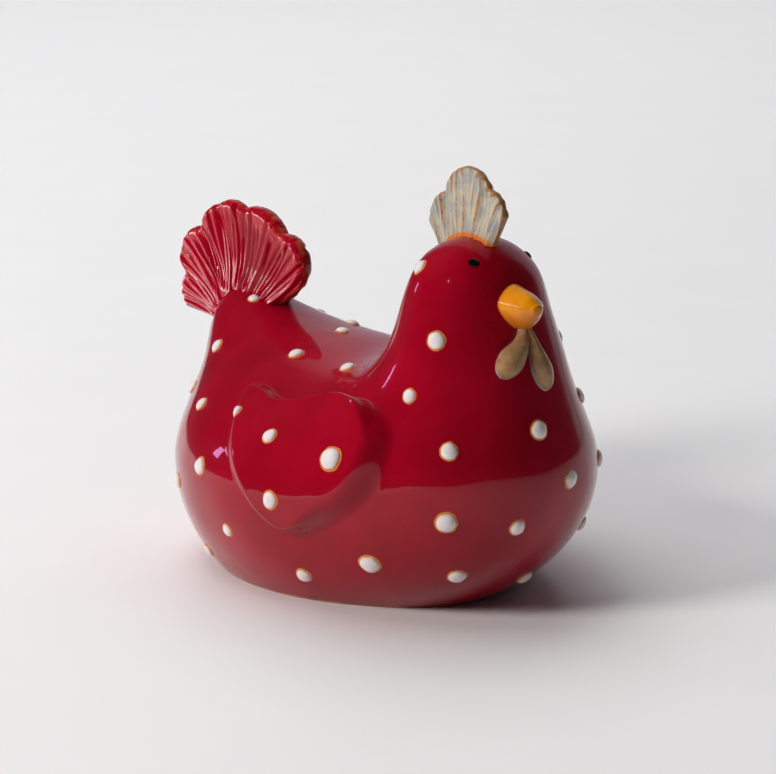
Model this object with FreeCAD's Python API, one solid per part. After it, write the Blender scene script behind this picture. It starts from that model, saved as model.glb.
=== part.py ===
import FreeCAD, Part
import math
import os

# A hollow glazed ceramic hen. One cast body carries the pieces that a potter adds by hand:
# two wings, a comb, a tail fan, a beak, two wattles, two eyes and raised dots of white slip.
# Millimetres. The hen faces +X, +Z is up, and -Y is its right side. The origin is on the
# surface that it stands on, below the middle of its length.

# Driving dimensions of the cast body: an egg-shaped belly, a neck and a tail that are tapering
# round cones, all blended into one form.
WALL = 4.5
FLOOR_THICKNESS = 5.0
POUR_HOLE_RADIUS = 9.0
FOOT_RING_WIDTH = 9.0
FOOT_RECESS = 1.2

BELLY = (10.9, 36.7)
BELLY_REAR = 71.8
BELLY_FRONT = 72.5
BELLY_SIDE = 64.5
BELLY_UP = 38.6
BELLY_DOWN = 54.2

NECK_ROOT = (67.4, 47.7)
NECK_ROOT_RADIUS = 35.5
HEAD = (66.2, 103.3)
HEAD_RADIUS = 21.4
NECK_WIDENING = 1.16
NECK_BLEND = 27.5

TAIL_ROOT = (-11.3, 27.6)
TAIL_ROOT_RADIUS = 31.6
TAIL_END = (-63.4, 77.1)
TAIL_END_RADIUS = 12.2
TAIL_WIDENING = 1.0
TAIL_BLEND = 38.5

# The body is measured along rays that spread from its spine. Rings of points run from the foot
# to a small flat at TOP, under the comb, and steer one smooth surface.
CORE = FreeCAD.Vector(24.0, 0.0, 43.0)
SPINE_HALF_LENGTH = 30.0
TOP = FreeCAD.Vector(66.0, 0.0, 125.0)
TOP_FLAT_DEPTH = 0.3
SEAM_ANGLE = 140.0
REACH = 150.0
RINGS = 60
RING_POINTS = 72

# Wings: a raised pad on each flank, thin at the tip and swollen at the shoulder. The outline is
# drawn from the side, as (X, Z) points, starting at the tip. Each wing has a side, -1 for the
# right and 1 for the left, and the left one is flatter and was put on a little further back.
WING_OUTLINE = [
    (-3.0, 66.5), (5.0, 68.0), (17.5, 66.2), (31.0, 68.0), (47.0, 71.5), (58.0, 72.5),
    (67.0, 71.0), (73.5, 65.5), (75.0, 57.0), (73.0, 47.5), (66.0, 38.0), (54.0, 31.0),
    (44.0, 28.5), (31.5, 33.0), (17.0, 45.0), (5.0, 57.5),
]
WING_TIP_RISE = 2.2
WING_SHOULDER_RISE = {-1: 6.6, 1: 3.4}
WING_TIP_X = 10.0
WING_SHOULDER_X = 60.0
WING_SETBACK = {-1: 0.0, 1: 17.0}

# The tail fan and the comb are flat plates in the plane of symmetry. Each edge is a row of
# lobes: an arc from notch to notch, through the crest between them. The roots are buried.
FAN_THICKNESS = 7.0
FAN_NOTCHES = [
    (-85.0, 73.0), (-99.5, 85.8), (-101.7, 95.4), (-89.1, 104.3),
    (-77.7, 114.4), (-62.8, 114.7), (-39.2, 109.0), (-33.9, 88.5),
]
FAN_CRESTS = [
    (-101.5, 76.5), (-103.0, 90.8), (-98.0, 101.0), (-86.0, 110.2),
    (-70.5, 116.8), (-52.0, 116.3), (-26.5, 100.5),
]
FAN_ROOT = [(-42.0, 76.0), (-78.0, 66.0)]

COMB_THICKNESS = 5.0
COMB_NOTCHES = [(48.0, 119.5), (51.6, 137.4), (74.2, 141.0), (77.0, 124.0)]
COMB_CRESTS = [(43.7, 128.5), (63.5, 147.0), (81.4, 134.5)]
COMB_ROOT = [(72.0, 112.0), (54.0, 110.0)]

# The beak: two mandibles that share a buried root and part at the front. Each is a loft from
# a root section to a tip section, given as (Y, Z) corners.
BEAK_ROOT_X = 82.0
BEAK_UPPER_TIP_X = 98.6
BEAK_LOWER_TIP_X = 97.2
BEAK_UPPER_ROOT = [(0.0, 113.5), (8.0, 106.0), (8.0, 104.0), (-8.0, 104.0), (-8.0, 106.0)]
BEAK_UPPER_TIP = [(0.0, 108.0), (2.4, 106.6), (2.4, 105.9), (-2.4, 105.9), (-2.4, 106.6)]
BEAK_LOWER_ROOT = [(0.0, 96.0), (8.0, 103.0), (8.0, 105.9), (-8.0, 105.9), (-8.0, 103.0)]
BEAK_LOWER_TIP = [(0.0, 99.8), (2.4, 101.4), (2.4, 104.6), (-2.4, 104.6), (-2.4, 101.4)]

# Wattles: a flattened drop hangs each side of the chin, as centre and half sizes.
WATTLE_HALF_SIZE = (3.2, 5.2, 8.6)
WATTLE_SPLAY = 22.0
WATTLE_RIGHT = (92.2, -6.0, 88.6)
WATTLE_LEFT = (92.8, 5.6, 86.2)

# Eyes and slip dots are low domes. Each is placed by its bearing, from straight ahead towards
# the hen's right, and its elevation, both in degrees as seen from AIM. Dots add a radius.
AIM = FreeCAD.Vector(8.0, 0.0, 41.0)
EYE_RADIUS = 1.9
EYE_RISE = 0.7
EYES = {"eye_right": (8.4, 47.6), "eye_left": (-14.5, 48.5)}
DOT_RISE_SHARE = 0.42
DOTS = {
    "dots_neck": [(20, 36, 3.4), (27, 26, 2.7), (20, 53, 3.0), (-23, 33, 3.2), (-31, 47, 2.8)],
    "dots_breast": [
        (20, 13, 3.2), (21, -2, 3.9), (0, 15, 3.7), (6, -4, 3.1), (-7, 4, 3.4),
        (-23, 19, 3.3), (-26, 4, 3.4), (-23, -11, 3.2), (16, -17, 3.6), (-6, -22, 3.4),
    ],
    "dots_right_flank": [
        (37, -16, 4.1), (58, -26, 3.2), (86, -16, 2.6), (100, 1, 3.4), (124, 16, 2.9),
        (122, -9, 3.2), (112, -30, 3.0),
    ],
    "dots_left_flank": [
        (-41, -18, 3.5), (-61, -27, 3.1), (-87, -17, 2.9), (-102, 0, 3.3), (-126, 17, 3.0),
        (-124, -10, 3.4), (-110, -29, 3.1), (-47, 12, 3.7),
    ],
    "dots_back": [
        (53, 54, 3.1), (116, 54, 3.1), (-174, 67, 2.8), (-24, 74, 3.0), (-152, 51, 2.9),
        (-56, 55, 3.2), (-112, 53, 3.0),
    ],
    "dots_rear": [
        (150, 13, 3.0), (176, -3, 3.3), (-156, 12, 3.1), (148, -22, 3.2), (-152, -17, 3.4),
        (180, -28, 2.9),
    ],
    "dots_tail": [(174, 37, 2.6), (156, 26, 2.9), (-160, 33, 2.8), (178, 19, 3.0)],
    "dots_right_wing": [(93, 21, 2.4), (70, 16, 3.1), (47, 12, 4.4), (64, -1, 3.4)],
    "dots_left_wing": [(-106, 20, 2.6), (-87, 14, 3.2), (-67, 9, 3.7), (-81, -2, 3.3)],
}


def egg_distance(x, y, z):
    """Signed distance, near enough, to the egg-shaped belly."""
    length = BELLY_REAR if x < BELLY[0] else BELLY_FRONT
    height = BELLY_DOWN if z < BELLY[1] else BELLY_UP
    a = (x - BELLY[0]) / length
    b = y / BELLY_SIDE
    c = (z - BELLY[1]) / height
    level = math.sqrt(a * a + b * b + c * c)
    slope = math.sqrt((a / length) ** 2 + (b / BELLY_SIDE) ** 2 + (c / height) ** 2)
    return level * (level - 1.0) / (slope + 1e-9)


def cone_distance(x, y, z, root, root_radius, end, end_radius, widening):
    """Signed distance to a cone with round ends, from root to end in the plane of symmetry."""
    along = FreeCAD.Vector(end[0] - root[0], 0, end[1] - root[1])
    length = along.Length
    along.normalize()
    from_root = FreeCAD.Vector(x - root[0], y / widening, z - root[1])
    s = from_root.dot(along)
    r = (from_root - along * s).Length
    taper = (root_radius - end_radius) / length
    flank = math.sqrt(1.0 - taper * taper)
    k = s - r * taper / flank
    if k <= 0.0:
        return math.hypot(s, r) - root_radius
    if k >= length:
        return math.hypot(s - length, r) - end_radius
    return r * flank + s * taper - root_radius


def blend(a, b, width):
    """The smaller of two distances, rounded off where they are about equal."""
    share = min(max(0.5 + 0.5 * (b - a) / width, 0.0), 1.0)
    return b + (a - b) * share - width * share * (1.0 - share)


def body_distance(x, y, z):
    egg = egg_distance(x, y, z)
    neck = cone_distance(x, y, z, NECK_ROOT, NECK_ROOT_RADIUS, HEAD, HEAD_RADIUS, NECK_WIDENING)
    tail = cone_distance(x, y, z, TAIL_ROOT, TAIL_ROOT_RADIUS, TAIL_END, TAIL_END_RADIUS,
                         TAIL_WIDENING)
    return blend(blend(egg, neck, NECK_BLEND), tail, TAIL_BLEND)


def rise_crossing(start, direction, rise):
    """Where a ray from start last crosses the body's surface, raised by rise(x, y, z)."""
    inside = 0.0
    outside = REACH
    reach = REACH
    while reach > 0.0:
        at = start + direction * reach
        gap = body_distance(*at) - rise(*at)
        if gap < 0.0:
            inside = reach
            break
        outside = reach
        reach -= max(0.6 * gap, 0.4)
    for _ in range(16):
        reach = 0.5 * (inside + outside)
        at = start + direction * reach
        if body_distance(*at) < rise(*at):
            inside = reach
        else:
            outside = reach
    return start + direction * reach


def spine_point(direction):
    """Where on the spine a ray starts: the more it points forwards, the further forward."""
    return CORE + FreeCAD.Vector(SPINE_HALF_LENGTH * direction.x, 0.0, 0.0)


def surface_point(direction, rise):
    return rise_crossing(spine_point(direction), direction, rise)


def ray_direction(point):
    """The direction of the ray from the spine that passes through a point."""
    direction = (point - CORE).normalize()
    for _ in range(30):
        direction = (point - spine_point(direction)).normalize()
    return direction


def foot_points(rise, height):
    """The body's outline at a height, from the seam round to the seam."""
    centre = FreeCAD.Vector(CORE.x, CORE.y, height)
    points = []
    for j in range(RING_POINTS):
        angle = math.radians(SEAM_ANGLE) + 2.0 * math.pi * j / RING_POINTS
        direction = FreeCAD.Vector(math.cos(angle), math.sin(angle), 0.0)
        points.append(rise_crossing(centre, direction, rise))
    return points


def turned(start, end, share):
    """A direction part of the way round from one direction to another."""
    whole = start.getAngle(end)
    a = math.sin((1.0 - share) * whole) / math.sin(whole)
    b = math.sin(share * whole) / math.sin(whole)
    return start * a + end * b


def surface_normal(point):
    """The direction straight out of the body at a point, from the slope of its distance."""
    step = 0.5
    slope = []
    for i in range(3):
        near = list(point)
        far = list(point)
        near[i] -= step
        far[i] += step
        slope.append(body_distance(*far) - body_distance(*near))
    return FreeCAD.Vector(*slope).normalize()


def top_points(rise, starts):
    """The edge of the small flat at TOP, in the same order as the foot's points."""
    peak = surface_point(ray_direction(TOP), rise)
    normal = surface_normal(peak)
    centre = peak - normal * TOP_FLAT_DEPTH
    points = []
    for start in starts:
        along = (start - normal * start.dot(normal)).normalize()
        inside = 0.0
        outside = HEAD_RADIUS
        for _ in range(20):
            middle = 0.5 * (inside + outside)
            at = centre + along * middle
            if body_distance(*at) < rise(*at):
                inside = middle
            else:
                outside = middle
        points.append(centre + along * inside)
    return points


def outward(face):
    """The face, turned so that its normal points away from CORE."""
    u_low, u_high, v_low, v_high = face.ParameterRange
    u = (u_low + u_high) / 2
    v = (v_low + v_high) / 2
    if face.normalAt(u, v).dot(face.valueAt(u, v) - CORE) > 0.0:
        return face
    return face.reversed()


def steered(row):
    """Control points that make a cubic spline pass close to the points of a closed row."""
    count = len(row)
    return [row[i] * (4.0 / 3.0) - (row[i - 1] + row[(i + 1) % count]) * (1.0 / 6.0)
            for i in range(count)]


def smooth_surface(rings):
    """One surface that is closed around the rings and clamped to the first and the last."""
    rows = [steered(ring) for ring in rings]
    poles = [rows[0]]
    for before, row, after in zip(rows, rows[1:], rows[2:]):
        poles.append([b * (4.0 / 3.0) - (a + c) * (1.0 / 6.0) for a, b, c in zip(before, row, after)])
    poles.append(rows[-1])
    around = len(rings[0])
    spans = len(rings) - 3
    surface = Part.BSplineSurface()
    surface.buildFromPolesMultsKnots(
        poles, [4] + [1] * (spans - 1) + [4], [1] * (around + 1),
        list(range(spans + 1)), list(range(around + 1)), False, True, 3, 3)
    return surface


def body_form(rise, height):
    """The whole body as one solid, from its outline at a height up to the flat at TOP."""
    foot = foot_points(rise, height)
    top = ray_direction(TOP)
    starts = [ray_direction(point) for point in foot]
    rings = [foot]
    for i in range(1, RINGS):
        rings.append([surface_point(turned(start, top, i / RINGS), rise) for start in starts])
    rings[-1] = top_points(rise, starts)
    side = smooth_surface(rings).toShape()
    ends = [Part.Face(Part.Wire([edge])) for edge in side.Edges if edge.isClosed()]
    shell = Part.makeShell([outward(face) for face in [side] + ends])
    return Part.makeSolid(shell)


def level(value):
    """A constant rise."""
    return lambda x, y, z: value


def wing_rise(side):
    """How far a wing stands off the body: least at its tip, most at its shoulder."""
    def rise(x, y, z):
        share = (x + WING_SETBACK[side] - WING_TIP_X) / (WING_SHOULDER_X - WING_TIP_X)
        share = min(max(share, 0.0), 1.0)
        share = share * share * (3.0 - 2.0 * share)
        return WING_TIP_RISE + (WING_SHOULDER_RISE[side] - WING_TIP_RISE) * share

    return rise


def body_shell(body):
    """The cast body: its outer form, less the hollow, the foot's recess and the pour hole."""
    hollow = body_form(level(-WALL), FOOT_RECESS + FLOOR_THICKNESS)
    xs = [point.x for point in foot_points(level(0.0), 0.0)]
    ys = [point.y for point in foot_points(level(0.0), 0.0)]
    centre = FreeCAD.Vector((min(xs) + max(xs)) / 2, 0, 0)
    edge = Part.Ellipse(centre, (max(xs) - min(xs)) / 2 - FOOT_RING_WIDTH, max(ys) - FOOT_RING_WIDTH)
    recess = Part.Face(Part.Wire([edge.toShape()])).extrude(FreeCAD.Vector(0, 0, FOOT_RECESS))
    hole = Part.makeCylinder(POUR_HOLE_RADIUS, 2.0 * FLOOR_THICKNESS, centre)
    return body.cut(hollow).cut(recess).cut(hole)


def wing(side, body):
    """One wing: what lies between the body and a swollen copy of it, within the outline."""
    swollen = body_form(wing_rise(side), 0.0)
    curve = Part.BSplineCurve()
    points = [FreeCAD.Vector(x - WING_SETBACK[side], 0, z) for x, z in WING_OUTLINE]
    curve.interpolate(Points=points, PeriodicFlag=True)
    face = Part.Face(Part.Wire([curve.toShape()]))
    column = face.extrude(FreeCAD.Vector(0, side * REACH, 0))
    return column.common(swollen).cut(body)


def lobed_plate(notches, crests, root, thickness):
    """A flat plate in the plane of symmetry, with a lobed edge and a plain root."""
    at = lambda point: FreeCAD.Vector(point[0], -thickness / 2, point[1])
    edges = []
    for start, crest, end in zip(notches, crests, notches[1:]):
        edges.append(Part.Arc(at(start), at(crest), at(end)).toShape())
    corners = [notches[-1]] + root + [notches[0]]
    for start, end in zip(corners, corners[1:]):
        edges.append(Part.makeLine(at(start), at(end)))
    return Part.Face(Part.Wire(edges)).extrude(FreeCAD.Vector(0, thickness, 0))


def section(x, corners):
    points = [FreeCAD.Vector(x, y, z) for y, z in corners]
    return Part.makePolygon(points + points[:1])


def beak():
    upper = Part.makeLoft([section(BEAK_ROOT_X, BEAK_UPPER_ROOT),
                           section(BEAK_UPPER_TIP_X, BEAK_UPPER_TIP)], True, True)
    lower = Part.makeLoft([section(BEAK_ROOT_X, BEAK_LOWER_ROOT),
                           section(BEAK_LOWER_TIP_X, BEAK_LOWER_TIP)], True, True)
    return upper.fuse(lower)


def wattle(centre, splay):
    """A flattened drop, turned about X so that its lower end swings outwards."""
    matrix = FreeCAD.Matrix()
    matrix.scale(*WATTLE_HALF_SIZE)
    drop = Part.makeSphere(1.0).transformGeometry(matrix)
    drop.rotate(FreeCAD.Vector(0, 0, 0), FreeCAD.Vector(1, 0, 0), splay)
    drop.translate(FreeCAD.Vector(*centre))
    return drop


def dome(bearing, elevation, radius, rise, surface_rise):
    """A cap of a ball that sits on the surface, with this radius at its foot and this rise."""
    b = math.radians(bearing)
    e = math.radians(elevation)
    direction = FreeCAD.Vector(math.cos(e) * math.cos(b), -math.cos(e) * math.sin(b), math.sin(e))
    point = rise_crossing(AIM, direction, surface_rise)
    normal = surface_normal(point)
    ball = (radius * radius + rise * rise) / (2.0 * rise)
    foot_latitude = math.degrees(math.asin((ball - rise) / ball))
    return Part.makeSphere(ball, point - normal * (ball - rise), normal, foot_latitude, 90.0, 360.0)


def dots(places, surface_rise):
    """A group of slip dots, each a separate solid."""
    solids = []
    for bearing, elevation, radius in places:
        rise = DOT_RISE_SHARE * radius
        solids.append(dome(bearing, elevation, radius, rise, surface_rise))
    return Part.makeCompound(solids)


def make_parts():
    body = body_form(level(0.0), 0.0)
    parts = {"body_shell": body_shell(body)}
    parts["wing_right"] = wing(-1, body)
    parts["wing_left"] = wing(1, body)
    parts["tail_fan"] = lobed_plate(FAN_NOTCHES, FAN_CRESTS, FAN_ROOT, FAN_THICKNESS).cut(body)
    parts["comb"] = lobed_plate(COMB_NOTCHES, COMB_CRESTS, COMB_ROOT, COMB_THICKNESS).cut(body)
    parts["beak"] = beak().cut(body)
    right = wattle(WATTLE_RIGHT, -WATTLE_SPLAY).cut(body).cut(parts["beak"])
    left = wattle(WATTLE_LEFT, WATTLE_SPLAY).cut(body).cut(parts["beak"])
    parts["wattle_right"] = right
    parts["wattle_left"] = left.cut(right)
    for name, (bearing, elevation) in EYES.items():
        parts[name] = dome(bearing, elevation, EYE_RADIUS, EYE_RISE, level(0.0))
    surfaces = {"dots_right_wing": wing_rise(-1), "dots_left_wing": wing_rise(1)}
    for name, places in DOTS.items():
        parts[name] = dots(places, surfaces.get(name, level(0.0)))
    return parts


def main():
    os.makedirs("parts", exist_ok=True)
    whole = []
    for name, shape in make_parts().items():
        shape.exportStep(os.path.join("parts", name + ".step"))
        whole.append(shape)
        print(name, "solids", len(shape.Solids), "volume", round(shape.Volume, 1),
              "valid", shape.isValid())
    bounds = Part.makeCompound(whole).BoundBox
    print("low", round(bounds.XMin, 2), round(bounds.YMin, 2), round(bounds.ZMin, 2))
    print("high", round(bounds.XMax, 2), round(bounds.YMax, 2), round(bounds.ZMax, 2))


main()
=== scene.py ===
import math
import bpy
import numpy as np
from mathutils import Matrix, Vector, noise
from mathutils.bvhtree import BVHTree


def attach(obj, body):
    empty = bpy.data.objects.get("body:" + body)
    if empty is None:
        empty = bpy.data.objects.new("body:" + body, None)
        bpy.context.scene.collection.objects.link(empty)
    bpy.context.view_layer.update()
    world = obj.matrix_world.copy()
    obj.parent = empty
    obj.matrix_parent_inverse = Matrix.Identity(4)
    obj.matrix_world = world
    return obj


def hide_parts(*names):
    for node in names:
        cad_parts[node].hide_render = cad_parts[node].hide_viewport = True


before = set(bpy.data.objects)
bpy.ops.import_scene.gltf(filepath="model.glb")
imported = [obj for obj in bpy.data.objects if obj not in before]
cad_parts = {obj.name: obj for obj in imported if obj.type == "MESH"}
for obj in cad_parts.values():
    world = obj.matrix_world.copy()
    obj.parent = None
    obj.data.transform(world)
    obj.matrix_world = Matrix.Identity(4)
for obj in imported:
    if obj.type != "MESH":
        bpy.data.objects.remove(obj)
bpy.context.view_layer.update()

# A hollow glazed ceramic hen. Shapes are worked out in millimetres and scaled to metres as
# each mesh is made. The hen faces +X, +Z is up, and -Y is its right side.
MM = 0.001

# The body's grid: rays spread from a spine and meet the CAD body, ring by ring, from the foot
# to a point under the comb.
CORE = np.array([24.0, 0.0, 43.0])
SPINE_HALF_LENGTH = 30.0
TOP = np.array([66.0, 0.0, 125.0])
AROUND = 480
RINGS = 300
REACH = 150.0
GLAZE_SMOOTHING = 6

# The underside: a bare foot ring, a shallow recess, the pour hole and the hollow above it.
WALL = 4.5
FLOOR_TOP = 6.2
RECESS = 1.2
FOOT_RING = 9.0
POUR_HOLE_RADIUS = 9.0
INNER_RINGS = 24

# Wings: the outline as seen from the side, (X, Z), how far it stands out at the tip and at
# the shoulder, and how wide the step is where it is crisp and where it is soft. Values for one
# side are kept under -1, the right, and 1, the left, which sits flatter and further back.
WING_OUTLINE = [
    (-3.0, 66.5), (5.0, 68.0), (17.5, 66.2), (31.0, 68.0), (47.0, 71.5), (58.0, 72.5),
    (67.0, 71.0), (73.5, 65.5), (75.0, 57.0), (73.0, 47.5), (66.0, 38.0), (54.0, 31.0),
    (44.0, 28.5), (31.5, 33.0), (17.0, 45.0), (5.0, 57.5),
]
WING_TIP_RISE = 2.2
WING_SHOULDER_RISE = {-1: 6.8, 1: 3.4}
WING_SETBACK = {-1: 0.0, 1: 17.0}
WING_TIP_X = 10.0
WING_SHOULDER_X = 60.0
WING_CRISP_STEP = 1.5
WING_SOFT_STEP = 8.5
WING_LIP = 0.3

# A slip dot's white dome fills this share of its radius; the rest is a thin brown skirt.
DOME_SHARE = 0.84

# Waves in the poured glaze, as (size, height) pairs.
GLAZE_WAVES = [(17.0, 0.2), (7.0, 0.03)]

# The fan and the comb are cut from polar grids around a focus in the plane of symmetry. Angles
# and valleys between lobes are in degrees, from straight ahead. Grooves have a width, a depth, the
# latest start and the earliest end as shares of the reach, and one seed for each face. The flare is
# the clay that thickens the root: how much, and how far up it goes.
FAN = {
    "focus": (-61.0, 70.0), "angles": (176.0, 33.0), "root": 8.0, "half": 3.5,
    "valleys": [158.0, 147.5, 129.5, 110.5, 92.3, 60.8],
    "grooves": 36, "groove_width": 0.95, "groove_depth": 1.25, "groove_reach": (0.3, 0.86),
    "seeds": (3, 8), "flare": (2.4, 6.0), "fade": 0.8,
}
COMB = {
    "focus": (62.0, 97.0), "angles": (122.0, 61.0), "root": 19.0, "half": 2.5,
    "valleys": [104.5, 74.5],
    "grooves": 17, "groove_width": 1.05, "groove_depth": 0.8, "groove_reach": (0.12, 1.0),
    "seeds": (5, 6), "flare": (0.7, 1.4), "fade": 0.45,
}
LEAF_COLUMNS = 330
LEAF_ROWS = 80
VALLEY_DEPTH = 1.3
VALLEY_WIDTH = 2.6

# The beak, as (X, value) pairs: its top and bottom heights and its half width.
BEAK_TOP = [(82.0, 112.6), (87.3, 111.0), (92.0, 109.9), (95.4, 108.4), (98.0, 106.3)]
BEAK_BOTTOM = [(82.0, 96.0), (91.3, 96.8), (94.6, 98.4), (96.8, 100.4), (98.0, 103.4)]
BEAK_SIDE = [(82.0, 8.4), (87.0, 7.5), (91.5, 6.5), (95.2, 4.9), (98.0, 2.2)]
BEAK_MIDDLE = 105.0

# Wattles: the four points that steer each path, from chin to end, and the half width and half
# thickness at shares of the way along it.
WATTLES = {
    "right": {
        "path": [(91.0, -0.6, 98.5), (94.0, -1.6, 92.0), (92.4, -5.2, 90.0), (92.4, -11.0, 83.0)],
        "widths": [(0.0, 1.4), (0.3, 2.6), (0.65, 4.8), (1.0, 5.4)],
        "depths": [(0.0, 1.5), (0.4, 3.0), (1.0, 4.6)],
    },
    "left": {
        "path": [(91.5, 0.6, 98.0), (95.0, 1.8, 92.0), (94.4, 4.4, 85.5), (94.2, 7.2, 76.5)],
        "widths": [(0.0, 1.3), (0.35, 2.0), (0.7, 4.0), (1.0, 4.7)],
        "depths": [(0.0, 1.5), (0.4, 2.8), (1.0, 4.4)],
    },
}

# How high a dome of slip or of black glaze stands, as a share of its radius.
DOT_RISE = 0.42
EYE_RISE = 0.3

# Light: how bright the dim room and the backdrop are, and which way the backdrop lies.
ROOM_LIGHT = 0.03
BACKDROP_LIGHT = 0.45
BACKDROP_SIDE = (-0.530, 0.848, 0.0)

# Camera, in metres, and its lens in millimetres.
CAMERA_PLACE = (0.86224, -0.65686, 0.32428)
CAMERA_TARGET = (0.0193, 0.0004, 0.0644)
CAMERA_LENS = 149.0


def unit(vectors):
    return vectors / np.linalg.norm(vectors, axis=-1, keepdims=True)


def smooth_step(values):
    t = np.clip(values, 0.0, 1.0)
    return t * t * (3.0 - 2.0 * t)


def cad_mesh(node):
    """A CAD node's corner points in millimetres, with its faces."""
    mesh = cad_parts[node].data
    flat = np.zeros(len(mesh.vertices) * 3, np.float32)
    mesh.vertices.foreach_get("co", flat)
    return flat.reshape(-1, 3).astype(float) / MM, [tuple(p.vertices) for p in mesh.polygons]


def tree_of(points, faces):
    return BVHTree.FromPolygons(points.tolist(), faces)


def outer_hit(tree, start, direction):
    """Where a ray from start last leaves the shape, found by looking back from outside."""
    far = Vector(start + direction * REACH)
    place = tree.ray_cast(far, Vector(-direction), REACH)[0]
    return start if place is None else np.array(place)


def ring_faces(rows, around, first=0):
    """Quads between closed rows that follow one another."""
    i, j = np.meshgrid(np.arange(rows - 1), np.arange(around), indexing="ij")
    k = (j + 1) % around
    quads = np.stack([i * around + j, i * around + k, (i + 1) * around + k, (i + 1) * around + j], -1)
    return (quads.reshape(-1, 4) + first).tolist()


def cap_faces(row_first, around, centre, turned_over=False):
    """Triangles from a closed row to one centre point."""
    faces = []
    for j in range(around):
        a, b = row_first + j, row_first + (j + 1) % around
        faces.append((b, a, centre) if turned_over else (a, b, centre))
    return faces


def piece(name, points, faces, materials, replaced, values=None, sharp_angle=None):
    """A finished object: scaled to metres, smooth, riding on the body and standing for CAD nodes."""
    mesh = bpy.data.meshes.new(name)
    mesh.from_pydata((np.asarray(points) * MM).tolist(), [], faces)
    for material in materials:
        mesh.materials.append(material)
    for key, numbers in (values or {}).items():
        attribute = mesh.attributes.new(key, "FLOAT", "POINT")
        attribute.data.foreach_set("value", np.asarray(numbers, np.float32))
    mesh.shade_smooth()
    if sharp_angle:
        mesh.set_sharp_from_angle(angle=math.radians(sharp_angle))
    obj = bpy.data.objects.new(name, mesh)
    bpy.context.scene.collection.objects.link(obj)
    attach(obj, "root")
    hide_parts(*replaced)
    return obj


def smoothed(grid, times):
    """A grid of closed rows, averaged with its neighbours; the first and last rows stay."""
    for _ in range(times):
        grid = (np.roll(grid, 1, 1) + 2.0 * grid + np.roll(grid, -1, 1)) / 4.0
        middle = (grid[:-2] + 2.0 * grid[1:-1] + grid[2:]) / 4.0
        grid = np.concatenate([grid[:1], middle, grid[-1:]])
    return grid


def grid_normals(grid):
    """Outward normals of a grid of closed rows that climb and run counter-clockwise."""
    along = np.roll(grid, -1, 1) - np.roll(grid, 1, 1)
    up = np.gradient(grid, axis=0)
    return unit(np.cross(along, up))


def wave(points, size, seed):
    """Smooth noise from -1 to 1 at each point, with hills about this size."""
    return np.array([noise.noise(Vector(p / size + seed)) for p in points.reshape(-1, 3)]).reshape(
        points.shape[:-1])


def spine_start(directions):
    """Where on the spine the ray with each direction begins."""
    starts = np.repeat(CORE[None, :], len(directions), 0)
    starts[:, 0] += SPINE_HALF_LENGTH * directions[:, 0]
    return starts


def ray_directions(points):
    """The directions of the spine's rays that pass through these points."""
    directions = unit(points - CORE)
    for _ in range(30):
        directions = unit(points - spine_start(directions))
    return directions


def turned(starts, end, share):
    """Directions part of the way round from each start to one end."""
    whole = np.arccos(np.clip(starts @ end, -1.0, 1.0))[:, None]
    return (np.sin((1.0 - share) * whole) * starts + np.sin(share * whole) * end) / np.sin(whole)


def skin_grid(tree):
    """The CAD body's outer surface as rings from the foot to just below the top."""
    foot = []
    for j in range(AROUND):
        angle = 2.0 * math.pi * j / AROUND
        direction = np.array([math.cos(angle), math.sin(angle), 0.0])
        foot.append(outer_hit(tree, np.array([CORE[0], 0.0, 0.05]), direction))
    foot = np.array(foot)
    foot[:, 2] = 0.0
    starts = ray_directions(foot)
    top = ray_directions(TOP[None, :])[0]
    rows = [foot]
    for i in range(1, RINGS):
        directions = turned(starts, top, i / RINGS)
        origins = spine_start(directions)
        rows.append(np.array([outer_hit(tree, o, d) for o, d in zip(origins, directions)]))
    return smoothed(np.array(rows), GLAZE_SMOOTHING)


def closed_curve(corners, steps):
    """A smooth closed curve through corner points."""
    corners = np.array(corners)
    before, after, beyond = np.roll(corners, 1, 0), np.roll(corners, -1, 0), np.roll(corners, -2, 0)
    points = []
    for t in np.arange(steps) / steps:
        points.append(0.5 * (2.0 * corners + (after - before) * t
                             + (2.0 * before - 5.0 * corners + 4.0 * after - beyond) * t ** 2
                             + (3.0 * corners - before - 3.0 * after + beyond) * t ** 3))
    return np.stack(points, 1).reshape(-1, 2)


def edge_distance(points, edge, closed):
    """The distance from each 2-D point to the nearest place on an edge made of short lines."""
    ends = np.roll(edge, -1, 0) if closed else edge[1:]
    starts = edge if closed else edge[:-1]
    nearest = np.full(len(points), 1e9)
    for a, b in zip(starts, ends):
        run = b - a
        share = np.clip((points - a) @ run / (run @ run + 1e-12), 0.0, 1.0)
        nearest = np.minimum(nearest, np.linalg.norm(points - a - share[:, None] * run, axis=1))
    return nearest


def inside(points, edge):
    """Whether each 2-D point lies inside a closed edge."""
    found = np.zeros(len(points), bool)
    for a, b in zip(edge, np.roll(edge, -1, 0)):
        crosses = (a[1] > points[:, 1]) != (b[1] > points[:, 1])
        with np.errstate(divide="ignore", invalid="ignore"):
            at = a[0] + (points[:, 1] - a[1]) * (b[0] - a[0]) / (b[1] - a[1])
        found ^= crosses & (points[:, 0] < at)
    return found


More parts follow.
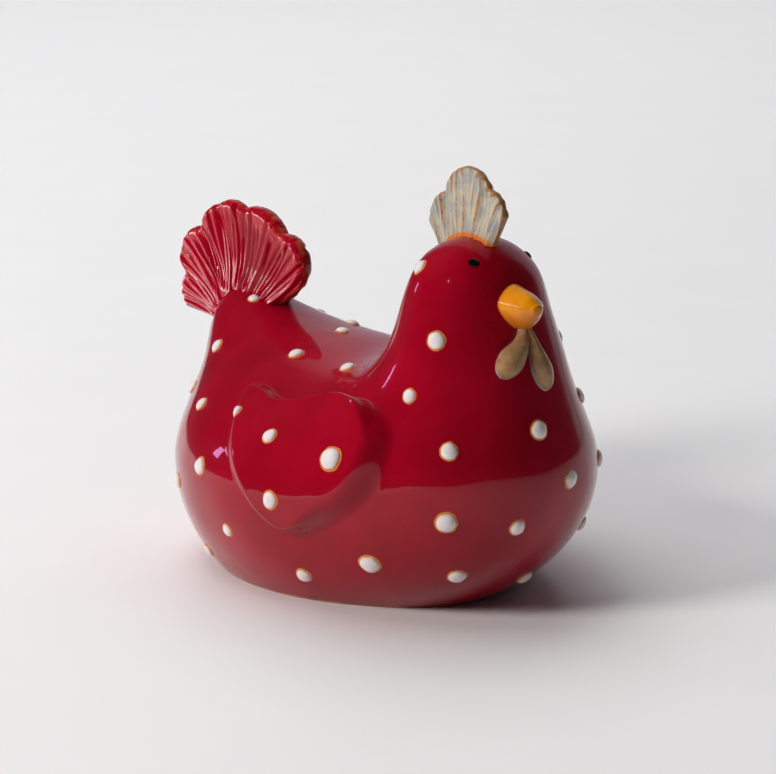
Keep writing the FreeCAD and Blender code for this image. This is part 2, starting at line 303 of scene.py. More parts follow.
def wing_height(points, side):
    """How far the wing on one side lifts the glaze at each point of the body."""
    edge = closed_curve(WING_OUTLINE, 10)
    height = np.zeros(len(points))
    x = points[:, 0] + WING_SETBACK[side]
    near = (side * points[:, 1] > 15.0) & (x > -8.0) & (x < 80.0)
    near &= (points[:, 2] > 24.0) & (points[:, 2] < 78.0)
    flat = np.stack([x, points[:, 2]], 1)[near]
    depth = edge_distance(flat, edge, True) * np.where(inside(flat, edge), 1.0, -1.0)
    soft_from = 38.0 + 18.0 * np.clip((flat[:, 1] - 30.0) / 38.0, 0.0, 1.0)
    soft = smooth_step((flat[:, 0] - soft_from) / 14.0)
    step = WING_CRISP_STEP + (WING_SOFT_STEP - WING_CRISP_STEP) * soft
    swell = smooth_step((flat[:, 0] - WING_TIP_X) / (WING_SHOULDER_X - WING_TIP_X))
    rise = WING_TIP_RISE + (WING_SHOULDER_RISE[side] - WING_TIP_RISE) * swell
    lip = WING_LIP * (1.0 - soft) * np.exp(-((depth - WING_CRISP_STEP) / 1.2) ** 2)
    height[near] = (rise + lip) * smooth_step(depth / step)
    return height


def foot_frame(foot):
    """The foot's middle X and its half length and half width."""
    low, high = foot.min(0), foot.max(0)
    return (low[0] + high[0]) / 2.0, (high[0] - low[0]) / 2.0, (high[1] - low[1]) / 2.0


def oval(foot, half_length, half_width, z):
    """An oval under the body whose points line up with the foot's points."""
    middle = foot_frame(foot)[0]
    angle = np.arctan2(foot[:, 1], foot[:, 0] - middle)
    return np.stack([middle + half_length * np.cos(angle), half_width * np.sin(angle),
                     np.full(len(foot), z)], 1)


def body_points(tree):
    """The glazed form with wings and waves, and the plain skin's normals for the hollow."""
    skin = skin_grid(tree)
    normals = grid_normals(skin)
    flat = skin.reshape(-1, 3)
    height = (wing_height(flat, -1) + wing_height(flat, 1)).reshape(skin.shape[:2])
    form = smoothed(skin + normals * height[..., None], 2)
    lift = np.zeros(form.shape[:2])
    for number, (size, amount) in enumerate(GLAZE_WAVES):
        lift += amount * wave(form, size, 5.0 + number)
    calm = smooth_step(form[..., 2] / 6.0)
    form = form + grid_normals(form) * (lift * calm - 0.12 * calm)[..., None]
    return skin, normals, form


def make_body(tree, glaze, clay):
    """One fused body: glazed outside with both wings, bare foot, recess, pour hole and hollow."""
    skin, normals, form = body_points(tree)
    foot = form[0]
    _, half_length, half_width = foot_frame(foot)
    ring_edge = oval(foot, half_length - FOOT_RING, half_width - FOOT_RING, 0.0)
    rounding = [foot * (1.0 - share) + ring_edge * share for share in (0.12, 0.3)]
    base = [ring_edge,
            oval(foot, half_length - FOOT_RING, half_width - FOOT_RING, RECESS),
            oval(foot, POUR_HOLE_RADIUS, POUR_HOLE_RADIUS, RECESS),
            oval(foot, POUR_HOLE_RADIUS, POUR_HOLE_RADIUS, FLOOR_TOP)]
    picked = np.linspace(0, RINGS - 1, INNER_RINGS).astype(int)
    hollow = skin[picked] - normals[picked] * WALL
    hollow[..., 2] = np.maximum(hollow[..., 2], FLOOR_TOP)
    rows = np.concatenate([form[::-1], np.array(rounding + base), hollow])
    count = len(rows)
    points = np.concatenate([rows.reshape(-1, 3), [form[-1].mean(0), hollow[-1].mean(0)]])
    faces = [tuple(reversed(face)) for face in ring_faces(count, AROUND)]
    glazed = (RINGS - 1) * AROUND
    faces += cap_faces(0, AROUND, count * AROUND)
    faces += cap_faces((count - 1) * AROUND, AROUND, count * AROUND + 1, True)
    bare = np.zeros(len(faces), np.int32)
    bare[glazed:(count - 1) * AROUND] = 1
    bare[-AROUND:] = 1
    obj = piece("glazed_body", points, faces, [glaze, clay],
                ["body_shell", "wing_right", "wing_left"], sharp_angle=50.0)
    obj.data.polygons.foreach_set("material_index", bare)
    return obj


def islands(points, faces):
    """The separate solids of a CAD node, each as an array of its points."""
    keys = {}
    merged = np.array([keys.setdefault(tuple(np.round(p, 2)), len(keys)) for p in points])
    parent = list(range(len(keys)))

    def find(i):
        while parent[i] != i:
            parent[i] = parent[parent[i]]
            i = parent[i]
        return i

    for face in faces:
        for corner in face[1:]:
            parent[find(merged[corner])] = find(merged[face[0]])
    roots = np.array([find(i) for i in merged])
    return [points[roots == root] for root in sorted(set(roots))]


def dome_frame(points, surface):
    """The foot's middle, the axis and the radius of one CAD dome."""
    middle = points.mean(0)
    _, directions = np.linalg.eigh(np.cov((points - middle).T))
    axis = directions[:, 0]
    if axis @ np.array(surface.find_nearest(Vector(middle))[1]) < 0.0:
        axis = -axis
    heights = (points - middle) @ axis
    across = points - middle - heights[:, None] * axis
    foot = middle + across.mean(0) + axis * heights.min()
    radius = np.linalg.norm(across - across.mean(0), axis=1).max()
    return foot, axis, radius


def blob(surface, foot, axis, radius, rise, seed, around=48):
    """A drop of thick slip on the glaze: a dome with a steep, uneven edge and a thin skirt."""
    side = unit(np.cross(axis, [0.3, 0.2, 0.9]))
    other = np.cross(axis, side)
    shares = np.concatenate([DOME_SHARE * np.sin(0.5 * math.pi * np.arange(1, 13) / 12.0),
                             np.linspace(DOME_SHARE, 1.0, 6)[1:]])
    points, edge = [], []
    for share in shares:
        dome = rise * max(1.0 - (share / DOME_SHARE) ** 2.3, 0.0) ** 0.6
        skirt = 0.09 * math.sqrt(max(1.0 - ((share - DOME_SHARE) / (1.0 - DOME_SHARE)) ** 2, 0.0))
        lift = dome + (skirt if share > DOME_SHARE else 0.09) - 0.06 * share ** 6
        for j in range(around):
            angle = 2.0 * math.pi * j / around
            bend = noise.noise(Vector((1.1 * math.cos(angle), 1.1 * math.sin(angle), seed)))
            fray = noise.noise(Vector((3.0 * math.cos(angle), 3.0 * math.sin(angle), seed + 9.0)))
            reach = radius * share * (1.0 + 0.1 * bend + 0.06 * fray * smooth_step((share - 0.7) / 0.3))
            at = foot + (side * math.cos(angle) + other * math.sin(angle)) * reach
            below = surface.ray_cast(Vector(at + axis * 8.0), Vector(-axis), 16.0)[0]
            ground = at if below is None else np.array(below)
            points.append(ground + axis * lift)
            edge.append(share)
    crown = np.mean(points[:around], 0) + axis * 0.02
    floor = foot - axis * 0.8
    first = len(points)
    faces = [tuple(reversed(face)) for face in ring_faces(len(shares), around)]
    faces += cap_faces(0, around, first)
    faces += cap_faces(first - around, around, first + 1, True)
    return points + [crown, floor], faces, edge + [0.0, 1.0]


def make_domes(name, node, surface, material, rise_share):
    """One object that stands for every dome of a CAD node."""
    points, faces, edges = [], [], []
    for number, island in enumerate(islands(*cad_mesh(node))):
        foot, axis, radius = dome_frame(island, surface)
        seed = number * 3.7 + len(name)
        new_points, new_faces, edge = blob(surface, foot, axis, radius, rise_share * radius, seed)
        faces += [tuple(i + len(points) for i in face) for face in new_faces]
        points += new_points
        edges += edge
    return piece(name, points, faces, [material], [node], {"edge": edges})


def groove_lines(plate, seed):
    """Tooled grooves on one face, each as (angle, first share, last share, width, depth)."""
    random = np.random.default_rng(seed)
    count = plate["grooves"]
    start, end = plate["angles"]
    latest_start, earliest_end = plate["groove_reach"]
    places = (np.arange(count) + 0.5 + random.uniform(-0.32, 0.32, count)) / count
    lines = []
    for place in places:
        angle = math.radians(start + (end - start) * place)
        first = random.uniform(0.0, latest_start)
        last = random.uniform(earliest_end, 1.15)
        width = plate["groove_width"] * random.uniform(0.7, 1.35)
        depth = plate["groove_depth"] * random.uniform(0.6, 1.2)
        lines.append((angle, first, last, width, depth))
    return lines


def relief_of(angle, reach, share, lines):
    """The depth of all grooves at each point, as a positive number."""
    relief = np.zeros(angle.shape)
    for number, (place, first, last, width, depth) in enumerate(lines):
        swerve = 0.018 * np.sin(5.0 * share + 1.7 * number)
        across = (angle - place - swerve) * reach
        window = smooth_step((share - first) / 0.12) * smooth_step((last - share) / 0.16)
        relief = np.maximum(relief, depth * np.exp(-(across / width) ** 2) * window)
    return relief


def leaf_outline(tree, plate):
    """The plate's edge in its own plane, seen from the focus: (angle, reach) per column."""
    turn = np.radians(np.linspace(*plate["angles"], LEAF_COLUMNS))
    start = np.array([plate["focus"][0], 0.0, plate["focus"][1]])
    reach = []
    for angle in turn:
        direction = np.array([math.cos(angle), 0.0, math.sin(angle)])
        reach.append(np.linalg.norm(outer_hit(tree, start, direction) - start))
    return turn, np.array(reach)


def stand_off(surface, points):
    """How far each point is outside the glazed body, 0 for points inside it."""
    stand = []
    for point in points:
        place, normal, _, distance = surface.find_nearest(Vector(point))
        outside = (Vector(point) - place).dot(normal) > 0.0
        stand.append(distance if outside else 0.0)
    return np.array(stand)


def nicked(turn, reach, lines):
    """The edge's reach, with a small nick where a groove runs out over it."""
    nick = np.zeros(LEAF_COLUMNS)
    for angle, _, last, width, _ in lines:
        if last > 0.9:
            nick = np.maximum(nick, 0.15 * np.exp(-((turn - angle) * reach / width) ** 2))
    return reach - nick


def valley_depth(angle, radius, share, valleys):
    """The depth of the folds between lobes at each point."""
    fold = np.zeros(angle.shape)
    for valley in valleys:
        across = (angle - math.radians(valley)) * radius
        deepening = smooth_step((share - 0.35) / 0.5)
        fold = np.maximum(fold, VALLEY_DEPTH * np.exp(-(across / VALLEY_WIDTH) ** 2) * deepening)
    return fold


def leaf(name, node, surface, plate, material):
    """A grooved plate with lobes: two sheets that meet in a rounded edge."""
    lines = [groove_lines(plate, seed) for seed in plate["seeds"]]
    turn, reach = leaf_outline(tree_of(*cad_mesh(node)), plate)
    reach = nicked(turn, reach, lines[0])
    share = np.sin(0.5 * math.pi * np.linspace(0.0, 1.0, LEAF_ROWS))[:, None]
    radius = plate["root"] + (reach - plate["root"]) * share
    x = plate["focus"][0] + radius * np.cos(turn)
    z = plate["focus"][1] + radius * np.sin(turn)
    flat = np.stack([x, z], -1)
    rim = np.concatenate([flat[:1, 0], flat[-1], flat[:1, -1]])
    depth = edge_distance(flat.reshape(-1, 2), rim, False).reshape(x.shape)
    half = plate["half"]
    roundness = np.sqrt(1.0 - (1.0 - np.clip(depth / (0.75 * half), 0.0, 1.0)) ** 2)
    middle = np.stack([x, np.zeros_like(x), z], -1).reshape(-1, 3)
    stand = stand_off(surface, middle).reshape(x.shape)
    thickening, height = plate["flare"]
    full = (half + thickening * np.exp(-(stand / height) ** 1.5)) * roundness
    angle_grid = np.broadcast_to(turn, x.shape)
    share_grid = np.broadcast_to(share, x.shape)
    fold = valley_depth(angle_grid, radius, share_grid, plate["valleys"]) * np.clip(depth / 2.5, 0.0, 1.0)
    off_edge = np.clip(depth / plate["fade"], 0.0, 1.0)
    sheets, ridges = [], []
    for side, own in zip((-1.0, 1.0), lines):
        relief = relief_of(angle_grid, radius, share_grid, own)
        thickness = np.maximum(full - relief * off_edge - fold, 0.12 * roundness)
        thickness[-1] = 0.0
        thickness[:, 0] = 0.0
        thickness[:, -1] = 0.0
        sheets.append(np.stack([x, side * thickness, z], -1))
        ridges.append(1.0 - np.clip(relief / 0.6, 0.0, 1.0) * off_edge)
    return joined_sheets(name, node, sheets, ridges, stand, depth, material)


def joined_sheets(name, node, sheets, ridges, stand, depth, material):
    """Two sheets sewn together along their shared edge, and closed across the root."""
    rows, columns = sheets[0].shape[:2]
    near = np.arange(rows * columns).reshape(rows, columns)
    far = near + rows * columns
    far[-1] = near[-1]
    far[:, 0] = near[:, 0]
    far[:, -1] = near[:, -1]
    faces = []
    for i in range(rows - 1):
        for j in range(columns - 1):
            faces.append((near[i, j], near[i, j + 1], near[i + 1, j + 1], near[i + 1, j]))
            faces.append((far[i, j], far[i + 1, j], far[i + 1, j + 1], far[i, j + 1]))
    for j in range(columns - 1):
        corners = [near[0, j + 1], near[0, j], far[0, j], far[0, j + 1]]
        faces.append(tuple(dict.fromkeys(corners)))
    used, order = np.unique(np.concatenate([np.array(face) for face in faces]), return_inverse=True)
    sizes = np.cumsum([len(face) for face in faces])[:-1]
    faces = [tuple(int(i) for i in part) for part in np.split(order.ravel(), sizes)]
    points = np.concatenate([sheet.reshape(-1, 3) for sheet in sheets])[used]
    values = {
        "ridge": np.concatenate([ridge.ravel() for ridge in ridges])[used],
        "stand": np.tile(stand.ravel(), 2)[used],
        "depth": np.tile(depth.ravel(), 2)[used],
    }
    return piece(name, points, faces, [material], [node], values)


def swept(sections):
    """A closed mesh through closed sections, with a point at each end."""
    around = len(sections[0])
    points = np.concatenate([np.concatenate(sections), [sections[0].mean(0), sections[-1].mean(0)]])
    total = len(sections) * around
    faces = ring_faces(len(sections), around)
    faces += cap_faces(0, around, total, True)
    faces += cap_faces(total - around, around, total + 1)
    return points, faces


def along(table, x):
    """A smooth curve through the (x, value) pairs of a table."""
    xs, values = np.array(table).T
    fine = np.linspace(xs[0], xs[-1], 200)
    line = np.interp(fine, xs, values)
    for _ in range(3):
        line = np.convolve(np.pad(line, 6, "edge"), np.ones(13) / 13.0, "valid")
    return float(np.interp(x, fine, line))


def make_beak(surface, material):
    """The beak: a short ridged wedge with a mouth line round its front."""
    sections = []
    for x in np.concatenate([np.linspace(82.0, 96.4, 44), np.linspace(96.6, 98.0, 9)]):
        top = along(BEAK_TOP, x) - BEAK_MIDDLE
        bottom = BEAK_MIDDLE - along(BEAK_BOTTOM, x)
        half_width = along(BEAK_SIDE, x)
        ring = []
        for phi in np.linspace(0.0, 2.0 * math.pi, 72, endpoint=False):
            c, s = math.cos(phi), math.sin(phi)
            y = half_width * math.copysign(abs(c) ** 1.22, c)
            z = BEAK_MIDDLE + (top if s > 0.0 else bottom) * math.copysign(abs(s) ** 1.22, s)
            mouth = 0.05 * math.exp(-((z - BEAK_MIDDLE) / 0.75) ** 2) * smooth_step((x - 88.0) / 10.0)
            ring.append((x - 2.5 * mouth * smooth_step((x - 95.0) / 4.0), y * (1.0 - mouth), z))
        sections.append(np.array(ring))
    tip = sections[-1].mean(0) + np.array([0.35, 0.0, 0.0])
    sections.append(tip + (sections[-1] - sections[-1].mean(0)) * 0.45)
    points, faces = swept(sections)
    stand = stand_off(surface, points)
    piece("beak_glazed", points, faces, [material], ["beak"], {"stand": stand})


def make_wattle(name, node, surface, material, path, widths, depths):
    """A hanging drop that lies against the breast: thin at the chin and full at its end."""
    sections = []
    path = np.array(path)
    for t in np.linspace(0.0, 1.0, 40):
        blend = np.array([(1.0 - t) ** 3, 3.0 * t * (1.0 - t) ** 2, 3.0 * t * t * (1.0 - t), t ** 3])
        slope = 3.0 * np.array([-(1.0 - t) ** 2, (1.0 - t) * (1.0 - 3.0 * t), t * (2.0 - 3.0 * t), t * t])
        at = blend @ path
        forward = unit(slope @ path)
        front = np.array([0.95, 0.0, 0.1])
        front = unit(front - forward * (front @ forward))
        side = np.cross(forward, front)
        close = math.sqrt(max(1.0 - max((t - 0.62) / 0.38, 0.0) ** 2.2, 0.0006))
        width = along(widths, t) * close
        thick = along(depths, t) * close
        ring = []
        for phi in np.linspace(0.0, 2.0 * math.pi, 48, endpoint=False):
            ring.append(at + side * width * math.cos(phi) - front * thick * math.sin(phi))
        sections.append(np.array(ring))
    points, faces = swept(sections)
    stand = stand_off(surface, points)
    piece(name, points, faces, [material], [node], {"stand": stand})


def linear(red, green, blue):
    """A display colour, 0 to 255, as the linear colour that shaders take."""
    levels = []
    for value in (red, green, blue):
        v = value / 255.0
        levels.append(v / 12.92 if v <= 0.04045 else ((v + 0.055) / 1.055) ** 2.4)
    return (*levels, 1.0)


class Look:
    """A procedural material under construction."""

    def __init__(self, name, roughness, coat=0.0, coat_roughness=0.03, specular=0.15):
        self.material = bpy.data.materials.new(name)
        self.material.use_nodes = True
        self.nodes = self.material.node_tree.nodes
        self.links = self.material.node_tree.links
        self.shader = self.nodes["Principled BSDF"]
        self.shader.inputs["Roughness"].default_value = roughness
        self.shader.inputs["Specular IOR Level"].default_value = specular
        self.shader.inputs["Coat Weight"].default_value = coat
        self.shader.inputs["Coat Roughness"].default_value = coat_roughness
        self.shader.inputs["Coat IOR"].default_value = 1.36
        self.place = self.nodes.new("ShaderNodeTexCoord").outputs["Object"]

    def noise(self, size, detail=3.0):
        """Noise whose lumps are about size metres across."""
        node = self.nodes.new("ShaderNodeTexNoise")
        node.inputs["Scale"].default_value = 1.0 / size
        node.inputs["Detail"].default_value = detail
        node.inputs["Roughness"].default_value = 0.5
        self.links.new(self.place, node.inputs["Vector"])
        return node.outputs["Fac"]

    def value(self, name):
        """A number that the mesh carries at each point."""
        node = self.nodes.new("ShaderNodeAttribute")
        node.attribute_name = name
        return node.outputs["Fac"]

    def axis(self, name):
        node = self.nodes.new("ShaderNodeSeparateXYZ")
        self.links.new(self.place, node.inputs["Vector"])
        return node.outputs[name]

    def maths(self, operation, a, b):
        node = self.nodes.new("ShaderNodeMath")
        node.operation = operation
        for socket, source in zip(node.inputs, (a, b)):
            if isinstance(source, (int, float)):
                socket.default_value = source
            else:
                self.links.new(source, socket)
        return node.outputs["Value"]

    def span(self, source, low, high, bottom=0.0, top=1.0):
        """Source from low to high, eased and clamped, as bottom to top."""
        node = self.nodes.new("ShaderNodeMapRange")
        node.interpolation_type = "SMOOTHSTEP"
        self.links.new(source, node.inputs["Value"])
        for key, number in (("From Min", low), ("From Max", high), ("To Min", bottom), ("To Max", top)):
            node.inputs[key].default_value = number
        return node.outputs["Result"]

    def mix(self, share, a, b):
        node = self.nodes.new("ShaderNodeMix")
        node.data_type = "RGBA"
        self.links.new(share, node.inputs["Factor"])
        for socket, source in ((node.inputs["A"], a), (node.inputs["B"], b)):
            if isinstance(source, tuple):
                socket.default_value = source
            else:
                self.links.new(source, socket)
        return node.outputs["Result"]

    def colour(self, source):
        self.links.new(source, self.shader.inputs["Base Color"])

    def rough(self, source):
        self.links.new(source, self.shader.inputs["Roughness"])

    def bump(self, source, distance, strength):
        """Fine unevenness of both the glaze and its glossy coat."""
        node = self.nodes.new("ShaderNodeBump")
        node.inputs["Distance"].default_value = distance
        node.inputs["Strength"].default_value = strength
        self.links.new(source, node.inputs["Height"])
        self.links.new(node.outputs["Normal"], self.shader.inputs["Normal"])
        self.links.new(node.outputs["Normal"], self.shader.inputs["Coat Normal"])


def red_glaze(name, on_fan):
    """Deep crimson glaze: it pools darker, carries faint specks and breaks to brown on edges."""
    look = Look(name, 0.4, coat=1.0, coat_roughness=0.02, specular=0.05)
    pool = look.span(look.noise(0.022, 2.0), 0.3, 0.7)
    base = look.mix(pool, linear(142, 1, 25), linear(156, 3, 31))
    speck = look.span(look.noise(0.0009, 1.0), 0.72, 0.78, 0.0, 0.3)
    base = look.mix(speck, base, linear(190, 60, 60))
    if on_fan:
        streak = look.noise(0.002, 4.0)
        ridge = look.span(look.value("ridge"), 0.8, 1.0)
        thin = look.maths("MULTIPLY", ridge, look.span(streak, 0.5, 0.72, 0.0, 0.45))
        edge = look.span(look.value("depth"), 0.45, 0.05, 0.0, 0.7)
        edge = look.maths("MULTIPLY", edge, look.span(look.noise(0.004), 0.35, 0.6))
        thin = look.maths("MAXIMUM", thin, edge)
        base = look.mix(thin, base, linear(186, 82, 42))
    else:
        ragged = look.maths("MULTIPLY", look.noise(0.006, 2.0), 0.0016)
        height = look.maths("SUBTRACT", look.axis("Z"), ragged)
        bare = look.span(height, 0.0002, -0.0004)
        base = look.mix(bare, base, linear(176, 104, 58))
    look.colour(base)
    look.rough(look.span(look.noise(0.008), 0.3, 0.7, 0.28, 0.4))
    look.bump(look.noise(0.0035, 1.0), 0.00003, 0.5)
    return look.material


def slip_glaze():
    """Raised white slip under clear glaze, with the brown halo where it breaks at the edge."""
    look = Look("white_slip_dots", 0.35, coat=1.0, coat_roughness=0.04)
    cloud = look.span(look.noise(0.003, 3.0), 0.35, 0.7)
    white = look.mix(cloud, linear(226, 216, 216), linear(236, 230, 228))
    freckle = look.span(look.noise(0.0008, 1.0), 0.66, 0.74, 0.0, 0.35)
    white = look.mix(freckle, white, linear(196, 160, 150))
    wander = look.maths("MULTIPLY", look.maths("SUBTRACT", look.noise(0.0028, 2.0), 0.5), 0.12)
    place = look.maths("ADD", look.value("edge"), wander)
    blush = look.mix(look.span(place, 0.66, 0.84, 0.0, 0.45), white, linear(222, 178, 150))
    halo = look.mix(look.span(place, 0.78, 0.85), blush, linear(210, 128, 52))
    look.colour(look.mix(look.span(place, 0.98, 1.03), halo, linear(160, 40, 36)))
    look.bump(look.noise(0.002, 1.0), 0.00004, 0.5)
    return look.material


def comb_glaze():
    """Tan glaze that pools grey-blue in the grooves, with an orange band at the root."""
    look = Look("comb_mixed_glaze", 0.34, coat=0.7, coat_roughness=0.08)
    wander = look.maths("MULTIPLY", look.maths("SUBTRACT", look.noise(0.0025, 3.0), 0.5), 0.7)
    drift = look.maths("MULTIPLY", look.maths("SUBTRACT", look.noise(0.009, 1.0), 0.45), 0.9)
    ridge = look.maths("ADD", look.maths("ADD", look.value("ridge"), wander), drift)
    tan = look.mix(look.span(look.noise(0.0016, 3.0), 0.3, 0.7), linear(184, 142, 100), linear(146, 96, 58))
    cloud = look.span(look.noise(0.004, 2.0), 0.35, 0.65)
    pool = look.mix(cloud, linear(188, 178, 156), linear(160, 162, 158))
    body = look.mix(look.span(ridge, 0.4, 0.95), pool, tan)
    rim = look.span(look.value("depth"), 0.3, 0.05, 0.0, 0.7)
    body = look.mix(rim, body, linear(158, 104, 62))
    speck = look.span(look.noise(0.0007, 1.0), 0.68, 0.74, 0.0, 0.5)
    body = look.mix(speck, body, linear(110, 70, 45))
    ragged = look.maths("MULTIPLY", look.noise(0.0022, 3.0), 2.2)
    foot = look.span(look.maths("SUBTRACT", look.value("stand"), ragged), 0.55, -0.05)
    look.colour(look.mix(foot, body, linear(214, 124, 52)))
    look.bump(look.noise(0.0012, 2.0), 0.00006, 0.6)
    return look.material


def wattle_glaze():
    """Tan glaze with fine specks, grey-blue where it runs down to the body."""
    look = Look("wattle_tan_glaze", 0.36, coat=0.6, coat_roughness=0.1)
    tan = look.mix(look.span(look.noise(0.004, 3.0), 0.3, 0.7), linear(172, 134, 92), linear(142, 102, 66))
    speck = look.span(look.noise(0.0008, 2.0), 0.62, 0.7, 0.0, 0.6)
    tan = look.mix(speck, tan, linear(104, 66, 44))
    wander = look.maths("MULTIPLY", look.noise(0.003, 2.0), 1.6)
    low = look.span(look.maths("SUBTRACT", look.value("stand"), wander), 0.5, -0.3)
    look.colour(look.mix(low, tan, linear(150, 152, 158)))
    look.bump(look.noise(0.0014, 2.0), 0.00005, 0.5)
    return look.material


def amber_glaze():
    """Amber glaze, darker towards the bottom and at the join with the face."""
    look = Look("beak_amber_glaze", 0.3, coat=1.0, coat_roughness=0.03)
    cloud = look.span(look.noise(0.006, 3.0), 0.3, 0.7)
    amber = look.mix(cloud, linear(216, 138, 10), linear(202, 120, 12))
    low = look.span(look.axis("Z"), 0.106, 0.099, 0.0, 0.85)
    amber = look.mix(low, amber, linear(188, 94, 16))
    join = look.span(look.value("stand"), 0.9, 0.1, 0.0, 0.7)
    look.colour(look.mix(join, amber, linear(150, 70, 20)))
    look.bump(look.noise(0.003, 1.0), 0.00003, 0.5)
    return look.material


def eye_glaze():
    """Black glaze with a thin brown edge."""
    look = Look("eye_black_glaze", 0.25, coat=0.5, coat_roughness=0.08)
    black = look.mix(look.noise(0.001, 2.0), linear(6, 4, 5), linear(20, 14, 14))
    look.colour(look.mix(look.span(look.value("edge"), 0.93, 0.99), black, linear(60, 8, 14)))
    look.bump(look.noise(0.0009, 1.0), 0.00003, 0.5)
    return look.material


def bare_clay():
    """Unglazed buff clay with fine grog."""
    look = Look("bare_clay", 0.85, specular=0.3)
    clay = look.mix(look.noise(0.012, 4.0), linear(206, 176, 148), linear(178, 142, 112))
    grog = look.span(look.noise(0.0007, 1.0), 0.62, 0.7, 0.0, 0.7)
    look.colour(look.mix(grog, clay, linear(120, 84, 62)))
    look.bump(look.noise(0.0008, 3.0), 0.00012, 0.8)
    return look.material


def floor_paper():
    look = Look("floor_paper", 0.75, specular=0.2)
    look.colour(look.mix(look.noise(0.05, 2.0), linear(242, 242, 243), linear(246, 246, 246)))
    return look.material


def make_floor():
    """A pale round table top under the hen."""
    rings = [0.0, 0.3, 0.8, 1.6, 2.6, 4.0]
    points = [(0.0, 0.0, 0.0)]
    for radius in rings[1:]:
        for j in range(96):
            angle = 2.0 * math.pi * j / 96
            points.append((radius * math.cos(angle), radius * math.sin(angle), 0.0))
    faces = [(0, 1 + j, 1 + (j + 1) % 96) for j in range(96)]
    faces += ring_faces(len(rings) - 1, 96, 1)
    mesh = bpy.data.meshes.new("floor")
    mesh.from_pydata(points, [], [tuple(face) for face in faces])
    mesh.materials.append(floor_paper())
    floor = bpy.data.objects.new("floor", mesh)
    bpy.context.scene.collection.objects.link(floor)


def aim(obj, target):
    obj.rotation_euler = (Vector(target) - obj.location).to_track_quat("-Z", "Y").to_euler()


def softbox(name, place, target, size, power, colour=(1.0, 1.0, 1.0), mirrored=True):
    """A rectangular light panel, which polished surfaces may or may not mirror."""
    light = bpy.data.lights.new(name, "AREA")
    light.shape = "RECTANGLE"
    light.size, light.size_y = size
    light.energy = power
    light.color = colour
    obj = bpy.data.objects.new(name, light)
    bpy.context.scene.collection.objects.link(obj)
    obj.location = place
    obj.visible_glossy = mirrored
    aim(obj, target)
    return obj


def only_for(light, names):
    """This light reaches only the named pieces, as a small reflector held close to them does."""
    group = bpy.data.collections.new(light.name + "_receivers")
    for name in names:
        group.objects.link(bpy.data.objects[name])
    light.light_linking.receiver_collection = group


def studio_world():
    """A dim room with a bright backdrop on the far side of the hen, and a pale backdrop all round."""
    world = bpy.data.worlds.new("studio")
    world.use_nodes = True
    nodes, links = world.node_tree.nodes, world.node_tree.links
    place = nodes.new("ShaderNodeTexCoord").outputs["Generated"]
    split = nodes.new("ShaderNodeSeparateXYZ")
    links.new(place, split.inputs["Vector"])
    level = nodes.new("ShaderNodeVectorMath")
    level.operation = "MULTIPLY"
    level.inputs[1].default_value = (1.0, 1.0, 0.0)
    links.new(place, level.inputs[0])
    compass = nodes.new("ShaderNodeVectorMath")
    compass.operation = "NORMALIZE"
    links.new(level.outputs["Vector"], compass.inputs[0])
    far = nodes.new("ShaderNodeVectorMath")
    far.operation = "DOT_PRODUCT"
    far.inputs[1].default_value = BACKDROP_SIDE
    links.new(compass.outputs["Vector"], far.inputs[0])

    def eased(source, low, high, bottom, top):
        node = nodes.new("ShaderNodeMapRange")
        node.interpolation_type = "SMOOTHSTEP"
        links.new(source, node.inputs["Value"])
        for key, number in (("From Min", low), ("From Max", high), ("To Min", bottom), ("To Max", top)):
            node.inputs[key].default_value = number
        return node.outputs["Result"]

    def combined(operation, a, b):
        node = nodes.new("ShaderNodeMath")
        node.operation = operation
        links.new(a, node.inputs[0])
        links.new(b, node.inputs[1])
        return node.outputs["Value"]

    side = eased(far.outputs["Value"], 0.76, 0.88, ROOM_LIGHT, BACKDROP_LIGHT)
    height = eased(split.outputs["Z"], 0.55, 0.85, 1.0, 0.05)
    seen = nodes.new("ShaderNodeLightPath").outputs["Is Camera Ray"]
    strength = combined("MAXIMUM", combined("MULTIPLY", side, height), seen)
    nodes["Background"].inputs["Color"].default_value = (0.90, 0.88, 1.0, 1.0)
    links.new(strength, nodes["Background"].inputs["Strength"])
    bpy.context.scene.world = world


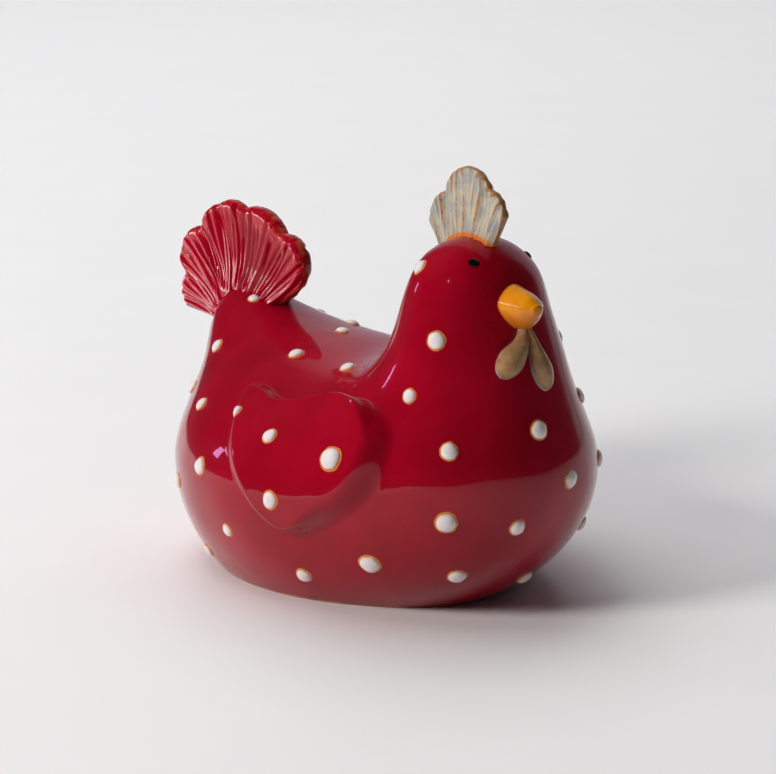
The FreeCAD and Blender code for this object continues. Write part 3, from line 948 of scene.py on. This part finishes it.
def make_lights():
    softbox("overhead", (-0.9, -0.5, 2.0), (0.0, 0.0, 0.05), (2.0, 2.0), 22.0, mirrored=False)
    softbox("backdrop_wash", (-1.6, 1.2, 2.0), (-1.5, 1.1, 0.0), (2.0, 2.0), 30.0, mirrored=False)
    softbox("key_left", (-0.3, -1.87, 1.0), (0.0, 0.0, 0.06), (0.6, 0.6), 31.0, (1.0, 0.97, 0.94), False)
    softbox("spark", (0.35, -1.5, 1.6), (0.0, 0.0, 0.08), (0.05, 0.05), 1.0, (1.0, 0.93, 0.82))
    softbox("window", (-1.6, -0.9, 0.55), (0.0, 0.0, 0.05), (0.12, 0.25), 0.9, (0.85, 0.45, 1.0))
    strip = softbox("fan_strip", (-1.0, -0.85, 0.2), (-0.06, 0.0, 0.09), (0.9, 0.24), 8.0)
    only_for(strip, ["grooved_tail_fan"])
    glint = softbox("beak_glint", (0.0, -0.8, 0.62), (0.09, 0.0, 0.105), (1.1, 0.14), 3.0)
    only_for(glint, ["beak_glazed"])


def make_camera():
    data = bpy.data.cameras.new("camera")
    data.sensor_width = 36.0
    data.lens = CAMERA_LENS
    camera = bpy.data.objects.new("camera", data)
    bpy.context.scene.collection.objects.link(camera)
    camera.location = CAMERA_PLACE
    aim(camera, CAMERA_TARGET)
    bpy.context.scene.camera = camera


red = red_glaze("crimson_glaze", False)
red_fan = red_glaze("crimson_fan_glaze", True)
white = slip_glaze()
black = eye_glaze()
tan = wattle_glaze()
body = make_body(tree_of(*cad_mesh("body_shell")), red, bare_clay())
body_faces = [tuple(p.vertices) for p in body.data.polygons]
surface = tree_of(np.array([v.co for v in body.data.vertices]) / MM, body_faces)

for node in [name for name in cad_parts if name.startswith("dots_")]:
    make_domes("slip_" + node, node, surface, white, DOT_RISE)
for side in ("right", "left"):
    make_domes("glazed_eye_" + side, "eye_" + side, surface, black, EYE_RISE)

leaf("grooved_tail_fan", "tail_fan", surface, FAN, red_fan)
leaf("grooved_comb", "comb", surface, COMB, comb_glaze())
make_beak(surface, amber_glaze())
for side, shape in WATTLES.items():
    make_wattle("glazed_wattle_" + side, "wattle_" + side, surface, tan, **shape)

make_floor()
make_lights()
studio_world()
make_camera()
bpy.context.scene.view_settings.view_transform = "Standard"
